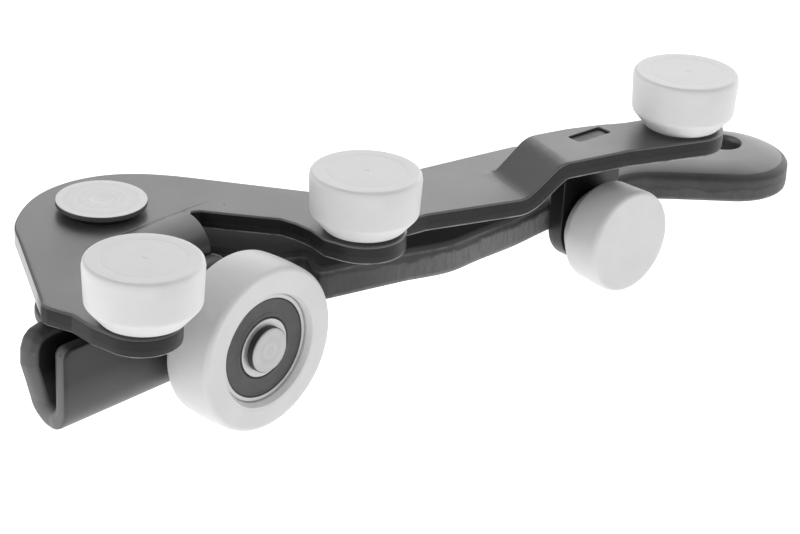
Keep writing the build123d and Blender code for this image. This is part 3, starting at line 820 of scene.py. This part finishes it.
def plate_bend(x, y, deep):
    """A point of the blank in the bent plate."""
    k, t = along_across(WHEEL_AZ, x, y)
    beside = clamp((FLANGE_LEFT - 0.01 - t) / BEND_EASE)
    if k > FLANGE_K and beside < 1.0 and t <= FLANGE_RIGHT + 0.01:
        share = (1 - beside) ** 2 * (1 + 2 * beside)
        if beside > 0.0:
            share *= clamp(1 - (k - FLANGE_K - 1.5) / 3.5)
        return row(x, y, -deep).lerp(flange_bend(k, t, deep), share)
    crease = max(0.0, 1 - abs(k - FLANGE_K + CREASE_HALF) / CREASE_HALF)
    if crease and FLANGE_LEFT < t < FLANGE_RIGHT and deep < 0.01:
        return row(x, y, -CREASE * crease)
    s = along_across(JOG_AZ, x, y)[0]
    if s < JOG_START - 4 or inside([(x, y)], LOBE)[0]:
        return row(x, y, -deep)
    shift = SHEET * tan(atan2(RAISE, JOG_RUN) / 2)
    top = filleted_step(s, JOG_START, JOG_R, JOG_R + 0.5)
    low = filleted_step(s, JOG_START + shift, JOG_R + SHEET, 2.0) - SHEET
    return row(x, y, top + (low - top) * deep / SHEET)


def carriage_plate():
    lug = Vector(plan(LUG_AZ, LUG_ALONG, LUG_ACROSS))
    long, wide = TENON_L / 2 - 0.1, TENON_T / 2 - 0.2
    slot = [plan(LUG_AZ + 90, *p) for p in ((long, wide), (-long, wide), (-long, -wide), (long, -wide))]
    slot = divided(rounded([tuple(Vector(p) + lug) for p in slot], 0.7), 0.8)
    hole = arc_points(PIVOT, RIVET_SHANK_R + 0.1, 0, 350, 35)
    notch = Vector(plan(WHEEL_AZ, FLANGE_K, FLANGE_LEFT))
    bend_end = FLANGE_K + 15
    points = grid(JOG_AZ, (-95, -60), (120, 60), 4.0, 4.0)
    points += grid(JOG_AZ, (41.2, -45), (60, 45), 0.75, 4.0)
    points += grid(WHEEL_AZ, (FLANGE_K - 2.4, FLANGE_LEFT + 3.4), (bend_end, FLANGE_RIGHT), 0.8, 3.1)
    points += grid(WHEEL_AZ, (FLANGE_K - 3.2, FLANGE_LEFT - 3.2), (bend_end, FLANGE_LEFT + 2.4), 0.8, 0.8)

    def soften(x, y):
        """Crisp round the slot and beside the flange, and rounder along the front."""
        k, t = along_across(LUG_AZ, x - lug.x, y - lug.y)
        if abs(k) < 6.0 and abs(t) < 8.5:
            return 0.4
        front = 1.0 + 1.4 * clamp((-8.0 - y) / 10.0)
        away = (Vector((x, y)) - notch).length
        return 0.45 + (front - 0.45) * clamp((away - 2.5) / 7.0)

    verts, faces, depth = sheet(plate_outline(), [hole, slot], PLATE_RIM, points, plate_bend, soften)
    materials = [PLATE, PLATE_CUT]
    finished("plate", verts, faces, materials, "carriage", ["carriage_plate"], depth)


# ---------------------------------------------------------------- wheel bracket
# The channel's outer face is unrolled down its back, round its fold and up its front.
HOOK_BACK = HOOK_BACK_TOP - HOOK_BEND_Z
HOOK_FRONT = HOOK_TOP - HOOK_BEND_Z
HOOK_OUTER_R = HOOK_GAP / 2 + SHEET
HOOK_FOLD = pi * HOOK_OUTER_R
HOOK_LENGTH = HOOK_BACK + HOOK_FOLD + HOOK_FRONT
HOOK_MID = FLANGE_OUT + HOOK_OUTER_R


def bracket_outline():
    """Unrolled outer face of the channel as (across, distance down, round and up)."""
    end = [(-75.7, 0.0), (-78.3, 0.6), (-80.0, 2.1), (-80.9, 4.6), (-81.0, 8.3), (-79.6, 12.9)]
    end += [(-78.3, HOOK_BACK + 0.6), (-77.8, HOOK_BACK + HOOK_FOLD * 0.3)]
    end += [(-77.9, HOOK_BACK + HOOK_FOLD * 0.5), (HOOK_LEFT, HOOK_BACK + HOOK_FOLD * 0.64)]
    end += [(HOOK_LEFT, HOOK_BACK + HOOK_FOLD * 0.8)]
    end += [(HOOK_LEFT, HOOK_LENGTH - 1.5), (HOOK_LEFT + 1.5, HOOK_LENGTH)]
    right = [(HOOK_RIGHT - 4, HOOK_LENGTH), (HOOK_RIGHT, HOOK_LENGTH - 5)]
    right += [(HOOK_RIGHT, 1.0), (HOOK_RIGHT - 2.0, 0.0)]
    return divided(rounded(end + right, 2.6), 1.0)


def bracket_bend(t, s, deep):
    """A point of the unrolled channel in the folded one."""
    if s < HOOK_BACK:
        k, z = FLANGE_OUT + deep, HOOK_BACK_TOP - s
    elif s < HOOK_BACK + HOOK_FOLD:
        turn = (s - HOOK_BACK) / HOOK_OUTER_R
        k = HOOK_MID - (HOOK_OUTER_R - deep) * cos(turn)
        z = HOOK_BEND_Z - (HOOK_OUTER_R - deep) * sin(turn)
    else:
        k, z = HOOK_MID + HOOK_OUTER_R - deep, HOOK_BEND_Z + s - HOOK_BACK - HOOK_FOLD
    x, y = plan(WHEEL_AZ, k, t)
    return row(x, y, z)


def wheel_bracket():
    step, points = 0.8, []
    for i in range(int(HOOK_LENGTH / step)):
        points += [(HOOK_LEFT - 3 + 3.0 * k, step * i) for k in range(21)]
    verts, faces, depth = sheet(bracket_outline(), [], BRACKET_RIM, points, bracket_bend)
    materials = [BRACKET, BRACKET_CUT]
    finished("bracket", verts, faces, materials, "carriage", ["wheel_bracket"], depth)


# ---------------------------------------------------------------- swing arm
def arm_outline():
    pivot_end = arc_points(PIVOT, ARM_PIVOT_R, 96.0, 319.0, 60)
    q = plan(WHEEL_AZ, FLANGE_OUT - SHEET - 1.4, FLANGE_RIGHT + 2.6)
    loop = [q, (q[0] + 3.2, q[1] - 0.3), (-21.0, 2.3), (-14.4, 4.9)]
    loop += [(-12.9, 4.4), (-12.2, 2.4), (-11.4, -1.6), (-9.8, -3.0), (-7.6, -2.4), (9.4, 8.7)]
    curve = [(9.4, 8.7), (20.8, 15.4), (25.9, 20.9), (36.6, 32.2), (45.0, 42.3)]
    curve += [(57.6, 55.0), (66.5, 63.0), (76.0, 64.7), (ARM_END[0], ARM_END[1] - ARM_END_R)]
    back = [(ARM_END[0], ARM_END[1] + ARM_END_R), (78.0, 94.0), (60.0, 84.0), (42.0, 67.5)]
    back += [(25.0, 50.0), (8.0, 35.5), (-12.0, 25.4), (-36.0, 20.6), pivot_end[0]]
    loop = rounded(pivot_end[-1:] + loop, 1.2, closed=False)
    loop = pivot_end[:-1] + loop[:-1]
    loop += spline(curve, (1.0, 0.62), (1.0, 0.03))
    loop += arc_points(ARM_END, ARM_END_R, -90.0, 90.0, 50)[1:]
    loop += spline(back, (-1.0, 0.0), (-1.0, -0.1))[1:-1]
    return divided(loop, 1.0)


def arm_bend(x, y, deep):
    """Flat, with the torn lower half of the cut standing a little rough."""
    tear = clamp((deep - 0.45 * ARM_T) / 1.5) if deep < ARM_T - 0.1 else 0.0
    p = Vector((x, y, deep * 0.35))
    rough = noise.noise(p * 1.1) * 0.10 * tear
    return row(x + rough, y + rough * 0.6, ARM_TOP - deep)


def swing_arm():
    bore = arc_points(ARM_BORE, ARM_BORE_R, 0, 354, 59)
    eye = arc_points(PIVOT, SLEEVE_R + 0.02, 0, 354, 59)
    points = grid(JOG_AZ, (-95, -60), (150, 60), 5.0, 5.0)

    def soften(x, y):
        """Crisp at the pivot end and round both holes, with the full roll at the free end."""
        from_bore = (Vector((x, y)) - Vector(ARM_BORE)).length
        if (Vector((x, y)) - PIVOT.xy).length < SLEEVE_R + 1 or from_bore < 6:
            return 0.12
        free = (from_bore - ARM_BORE_R - 2.0) / ARM_RIM[0][0]
        return min(0.12 + 0.88 * clamp((x - 36.0) / 38.0), max(free, 0.12))

    verts, faces, depth = sheet(arm_outline(), [eye, bore], ARM_RIM, points, arm_bend, soften)
    finished("arm", verts, faces, [ARM, ARM_CUT], "arm", ["swing_arm"], depth, cut_from=0.15)


# ---------------------------------------------------------------- roller lug
def roller_lug():
    half = LUG_W / 2
    tenon = TENON_L / 2 - 0.15
    top = RAISE - SHEET
    loop = [(half, top), (tenon, top), (tenon, RAISE - TENON_SINK)]
    loop += [(-tenon, RAISE - TENON_SINK), (-tenon, top), (-half, top)]
    loop = rounded(loop, 0.4, closed=False) + arc_points((0, LUG_AXIS_Z), half, 180, 360, 60)

    def bend(t, z, deep):
        x, y = plan(LUG_AZ, LUG_ALONG + SHEET / 2 - deep, LUG_ACROSS + t)
        return row(x, y, z)

    points = [(-half + 2.0 * i, LUG_AXIS_Z + 3.0 * k) for i in range(11) for k in range(-3, 8)]
    verts, faces, depth = sheet(divided(loop, 1.0), [], LUG_RIM, points, bend)
    finished("lug", verts, faces, [LUG, LUG_CUT], "carriage", ["roller_lug"], depth)


# ---------------------------------------------------------------- small rollers
def roller(prefix, suffix, body, place, flush):
    """Tyre, bush, washer and headed pin of one small roller; local Z = 0 at its foot."""
    h = ROLLER_H
    tyre = [(BUSH_R, 0.0, 0.3), (9.3, 0.0, 0.7), (12.62, 3.9, 1.6), (ROLLER_R, h - 1.6, 0.6)]
    tyre += [(ROLLER_R - 0.3, h, 2.2)]
    if flush:
        tyre += [(0.0, h)]
    else:
        tyre += [(9.55, h), (9.25, h - 0.09), (8.95, h - 0.09), (8.65, h - 0.02)]
        tyre += [(0.9, h - 0.08), (0.7, h - 0.18), (0.0, h - 0.18)]
    tyre += [(0.0, POCKET_TOP), (BUSH_R, POCKET_TOP, 0.4)]
    lathe("tyre_" + body, prefix + "tyre" + suffix, body, NYLON, place, tyre)
    bore, bush_top = PIN_R + 0.05, 8.0
    bush = [(bore, 0.0, 0.3), (BUSH_R, 0.0, 0.2), (BUSH_R, bush_top, 0.2), (bore, bush_top, 0.3)]
    lathe("bush_" + body, prefix + "bush" + suffix, body, BRONZE, place, bush, 64)
    low, top = -ROLLER_LIFT, 0.6 - ROLLER_LIFT
    washer = [(PIN_R, low, 0.1), (8.0, low, 0.15), (8.0, top, 0.15), (PIN_R, top, 0.1)]
    lathe("washer_" + body, prefix + "washer" + suffix, "carriage", PIN, place, washer, 72)
    low -= SHEET
    pin = [(0.0, 10.15), (PIN_HEAD_R, 10.15, 0.6), (PIN_HEAD_R, 8.15, 0.2), (PIN_R, 8.15)]
    if flush:
        pin += [(PIN_R, low + 1.5), (5.5, low, 0.15), (0.0, low)]
    else:
        pin += [(PIN_R, low), (PIN_HEAD_R, low, 0.3), (5.5, low - 1.5, 1.2)]
        pin += [(3.2, low - 1.8, 1.0), (2.6, low - 1.45, 0.5), (0.0, low - 1.4)]
    lathe("pin_" + body, prefix + "pin" + suffix, "carriage", PIN, place, pin, 72)


def small_rollers():
    for i, (at, flat) in enumerate(zip(GUIDES, (0.0, 0.0, RAISE)), 1):
        suffix = "_" + str(i)
        place = upright(at.x, at.y, flat + ROLLER_LIFT)
        roller("guide_", suffix, "guide_roller" + suffix, place, False)
    foot = LUG_ALONG + SHEET / 2 + ROLLER_LIFT
    roller("support_", "", "support_roller", facing(LUG_AZ, LUG_ACROSS, LUG_AXIS_Z, foot), True)


# ---------------------------------------------------------------- main pivot
def main_pivot():
    place = upright(PIVOT.x, PIVOT.y, 0.0)
    head = [(0.0, 2.60), (2.6, 2.61, 0.6), (3.0, 2.66, 0.3), (8.0, 2.68, 0.2)]
    head += [(RIVET_HEAD_R, RIVET_HEAD_TOP, 0.12), (RIVET_HEAD_R, 1.5, 0.2), (9.4, 1.35, 0.2)]
    head += [(8.8, 0.0), (RIVET_SHANK_R, 0.0), (RIVET_SHANK_R, CUP_FOOT), (9.4, CUP_FOOT, 0.4)]
    head += [(9.0, -28.5, 1.2), (7.2, -29.5, 1.5), (3.4, -29.4, 0.6), (2.6, -29.0, 0.5), (0.0, -28.9)]
    lathe("rivet", "pivot_rivet", "carriage", RIVET, place, head, 160)
    foot = ARM_TOP + 0.15
    spacer = [(RIVET_SHANK_R, foot), (WEAR_RING_R, foot, 0.4), (WEAR_RING_R, -SHEET, 0.4)]
    spacer += [(RIVET_SHANK_R, -SHEET)]
    lathe("wear_ring", "pivot_spacer", "carriage", WEAR_RING, place, spacer)
    bore = RIVET_SHANK_R + 0.05
    sleeve = [(bore, SLEEVE_FOOT, 0.5), (SLEEVE_R, SLEEVE_FOOT, 0.6), (SLEEVE_R, ARM_TOP, 0.3)]
    sleeve += [(bore, ARM_TOP, 0.5)]
    lathe("sleeve", "pivot_sleeve", "arm", RING, place, sleeve)
    top = SLEEVE_FOOT - 0.15
    cup = [(RIVET_SHANK_R, top), (CUP_R, top, 0.9), (CUP_R, CUP_FOOT, 0.7), (13.2, CUP_FOOT, 0.5)]
    cup += [(12.6, CUP_FOOT + 0.4, 0.5), (RIVET_SHANK_R, CUP_FOOT + 0.4)]
    lathe("pivot_washer", "pivot_washer", "carriage", CUP, place, cup)


def bracket_rivets():
    """Two small domed rivets through the flange and the bracket."""
    verts, faces = [], []
    grip = 2 * SHEET
    dome = rounded([(0.0, grip + 1.2), (2.4, grip + 1.2), (4.0, grip)], [0, 1.6, 0], False)
    tail = rounded([(4.0, 0.0), (2.4, -1.2), (0.0, -1.2)], [0, 1.6, 0], False)
    for across in (-43.5, -29.0):
        part, quads = turned(dome + [(2.5, grip), (2.5, 0.0)] + tail, 48)
        place = facing(WHEEL_AZ, across, -15.5, FLANGE_OUT - SHEET)
        faces += [tuple(i + len(verts) for i in quad) for quad in quads]
        verts += [place @ Vector(v) for v in part]
    finished("bracket_rivets", verts, faces, [PIN], "carriage", ["bracket_rivets"])


# ---------------------------------------------------------------- load wheel
def load_wheel():
    place = facing(WHEEL_AZ, WHEEL_ACROSS, WHEEL.z, WHEEL_ALONG)
    out = BEARING_HALF
    face = out + BEARING_DEPTH
    back = face - WHEEL_W
    r = WHEEL_R
    crown = [(u, r + 0.35 * (1 - (2 * u - 1) ** 2)) for u in (0.2, 0.3, 0.4, 0.5, 0.6, 0.7, 0.8)]
    tyre = [(11.2, back, 0.4), (r, back, 2.2)] + [(x, back + u * WHEEL_W) for u, x in crown]
    tyre += [(r, face, 2.8), (14.4, face, 0.3), (14.2, face - 0.10, 0.1), (14.0, face, 0.1)]
    tyre += [(BEARING_R + 0.8, face, 0.3), (BEARING_R, face - 1.2, 0.3), (BEARING_R, -out), (11.2, -out)]
    lathe("wheel_tyre", "wheel_tyre", "load_wheel", NYLON, place, tyre, 192)
    lip, race = 11.9, 10.6
    ring = [(BEARING_R, -out, 0.4), (BEARING_R, out, 0.4), (lip, out, 0.15), (lip, out - 1.0)]
    ring += [(race, out - 1.0), (race, 1.0 - out), (lip, 1.0 - out), (lip, -out, 0.15)]
    lathe("outer_ring", "bearing_outer_ring", "load_wheel", RING, place, ring)
    cone = [(WHEEL_PIN_R, -out, 0.3), (7.0, -out, 0.25), (7.0, out, 0.25), (WHEEL_PIN_R, out, 0.3)]
    lathe("inner_ring", "bearing_inner_ring", "carriage", RING, place, cone, 96)
    seal = [(7.08, 3.15, 0.1), (11.85, 3.15, 0.1), (11.85, 3.72, 0.12), (11.3, 3.82, 0.2)]
    seal += [(11.0, 3.66, 0.15), (8.5, 3.66, 0.2), (8.2, 3.80, 0.15), (7.5, 3.84, 0.15), (7.08, 3.6, 0.15)]
    for turn, node in ((0.0, "bearing_seal_front"), (pi, "bearing_seal_rear")):
        flip = place @ Matrix.Rotation(turn, 4, "X")
        lathe(node, node, "load_wheel", SEAL, flip, seal, 128)
    wall = FLANGE_OUT + 2 * SHEET + HOOK_GAP - WHEEL_ALONG
    spacer = [(WHEEL_PIN_R, wall, 0.2), (6.6, wall, 0.3), (6.6, -out, 0.3), (WHEEL_PIN_R, -out, 0.2)]
    lathe("wheel_spacer", "wheel_spacer", "carriage", PIN, place, spacer, 72)
    end = wall - SHEET
    pin = [(0.0, end), (6.0, end, 0.1), (WHEEL_PIN_R, end + 1.0), (WHEEL_PIN_R, out), (5.45, out)]
    pin += [(5.4, out + 1.4, 0.1), (5.05, out + 1.75, 0.3), (2.5, out + 1.85, 1.0), (0.0, out + 1.78)]
    lathe("wheel_pin", "wheel_pin", "carriage", AXLE, place, pin, 96)


def hidden_nodes():
    """CAD nodes that are kept as they are and only get a material."""
    for node, material in (("bearing_balls", RING), ("bearing_cage", BRONZE)):
        mesh = frame["nodes"][node].data
        mesh.materials.clear()
        mesh.materials.append(material)


# ---------------------------------------------------------------- floor, lights, camera
# A glow is its direction, the cosine of its half width, and its strength outside and in its middle.
GLOWS = (((0.47, 0.85, 0.26), 0.4, 0.40, 2.3), ((-1.0, -0.25, 0.10), 0.45, 0.0, 0.95))
# A lamp is its name, place and power. All are of one size and face the middle of the part.
LAMPS = (("front_left", (-0.7, -0.7, 0.30), 0.6), ("front_right", (0.6, -0.8, 0.30), 0.5))
LAMP_SIZE = (0.6, 0.5)
MIDDLE = Vector((-0.09, -0.07, 0.0))


def white_floor():
    """A floor just under the part that stays white to the horizon."""
    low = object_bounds()[0]
    bpy.ops.mesh.primitive_plane_add(size=6.0, location=(0.0, 0.0, low[2] - 0.5 * MM))
    floor = bpy.context.object
    floor.name = "floor"
    look = Look("floor_paper", Emission_Strength=1.10)
    look.shader.inputs["Emission Color"].default_value = rgb(1.0)
    grain = look.spread(look.noise(40.0, 3.0), 0.2, 0.8, 0.29, 0.31)
    floor.data.materials.append(look.finish(look.grey(grain), 0.9))


def surround():
    """A pale surround that glows behind the part on the right, and more weakly on the left."""
    world = bpy.data.worlds.new("studio")
    bpy.context.scene.world = world
    world.use_nodes = True
    graph = Graph(world.node_tree)
    where = graph.add("ShaderNodeTexCoord").outputs["Generated"]
    light = None
    for towards, start, low, high in GLOWS:
        inputs = {0: where, 1: Vector(towards).normalized()}
        nearness = graph.add("ShaderNodeVectorMath", inputs, operation="DOT_PRODUCT").outputs["Value"]
        glow = graph.spread(nearness, start, 1.0, low, high, "SMOOTHSTEP")
        light = glow if light is None else graph.plus(light, glow)
    background = graph.tree.nodes["Background"]
    graph.put(background.inputs["Color"], rgb(1.0))
    graph.put(background.inputs["Strength"], light)


def softboxes():
    for name, place, power in LAMPS:
        data = bpy.data.lights.new(name, "AREA")
        data.shape = "RECTANGLE"
        data.size, data.size_y = LAMP_SIZE
        data.energy = power
        lamp = bpy.data.objects.new(name, data)
        bpy.context.scene.collection.objects.link(lamp)
        lamp.location = place
        lamp.rotation_euler = (MIDDLE - Vector(place)).to_track_quat("-Z", "Y").to_euler()


def camera():
    """Long lens from the front, above and slightly to the left, rolled a little."""
    data = bpy.data.cameras.new("camera")
    data.lens = 109.67
    data.sensor_width = 36.0
    data.clip_start = 0.01
    pitch, roll = radians(25.565), radians(2.942)
    ahead = Vector((0.0, cos(pitch), -sin(pitch)))
    level = Vector((1.0, 0.0, 0.0))
    up = level.cross(ahead)
    right = level * cos(roll) + up * sin(roll)
    up = up * cos(roll) - level * sin(roll)
    seat = row(8.764, -507.378, 233.496)
    view = bpy.data.objects.new("camera", data)
    view.matrix_world = Matrix.Translation(seat) @ Matrix((right, up, -ahead)).transposed().to_4x4()
    bpy.context.scene.collection.objects.link(view)
    bpy.context.scene.camera = view
    bpy.context.scene.view_settings.view_transform = "Standard"


carriage_plate()
wheel_bracket()
swing_arm()
roller_lug()
small_rollers()
main_pivot()
bracket_rivets()
load_wheel()
hidden_nodes()
camera()
white_floor()
surround()
softboxes()
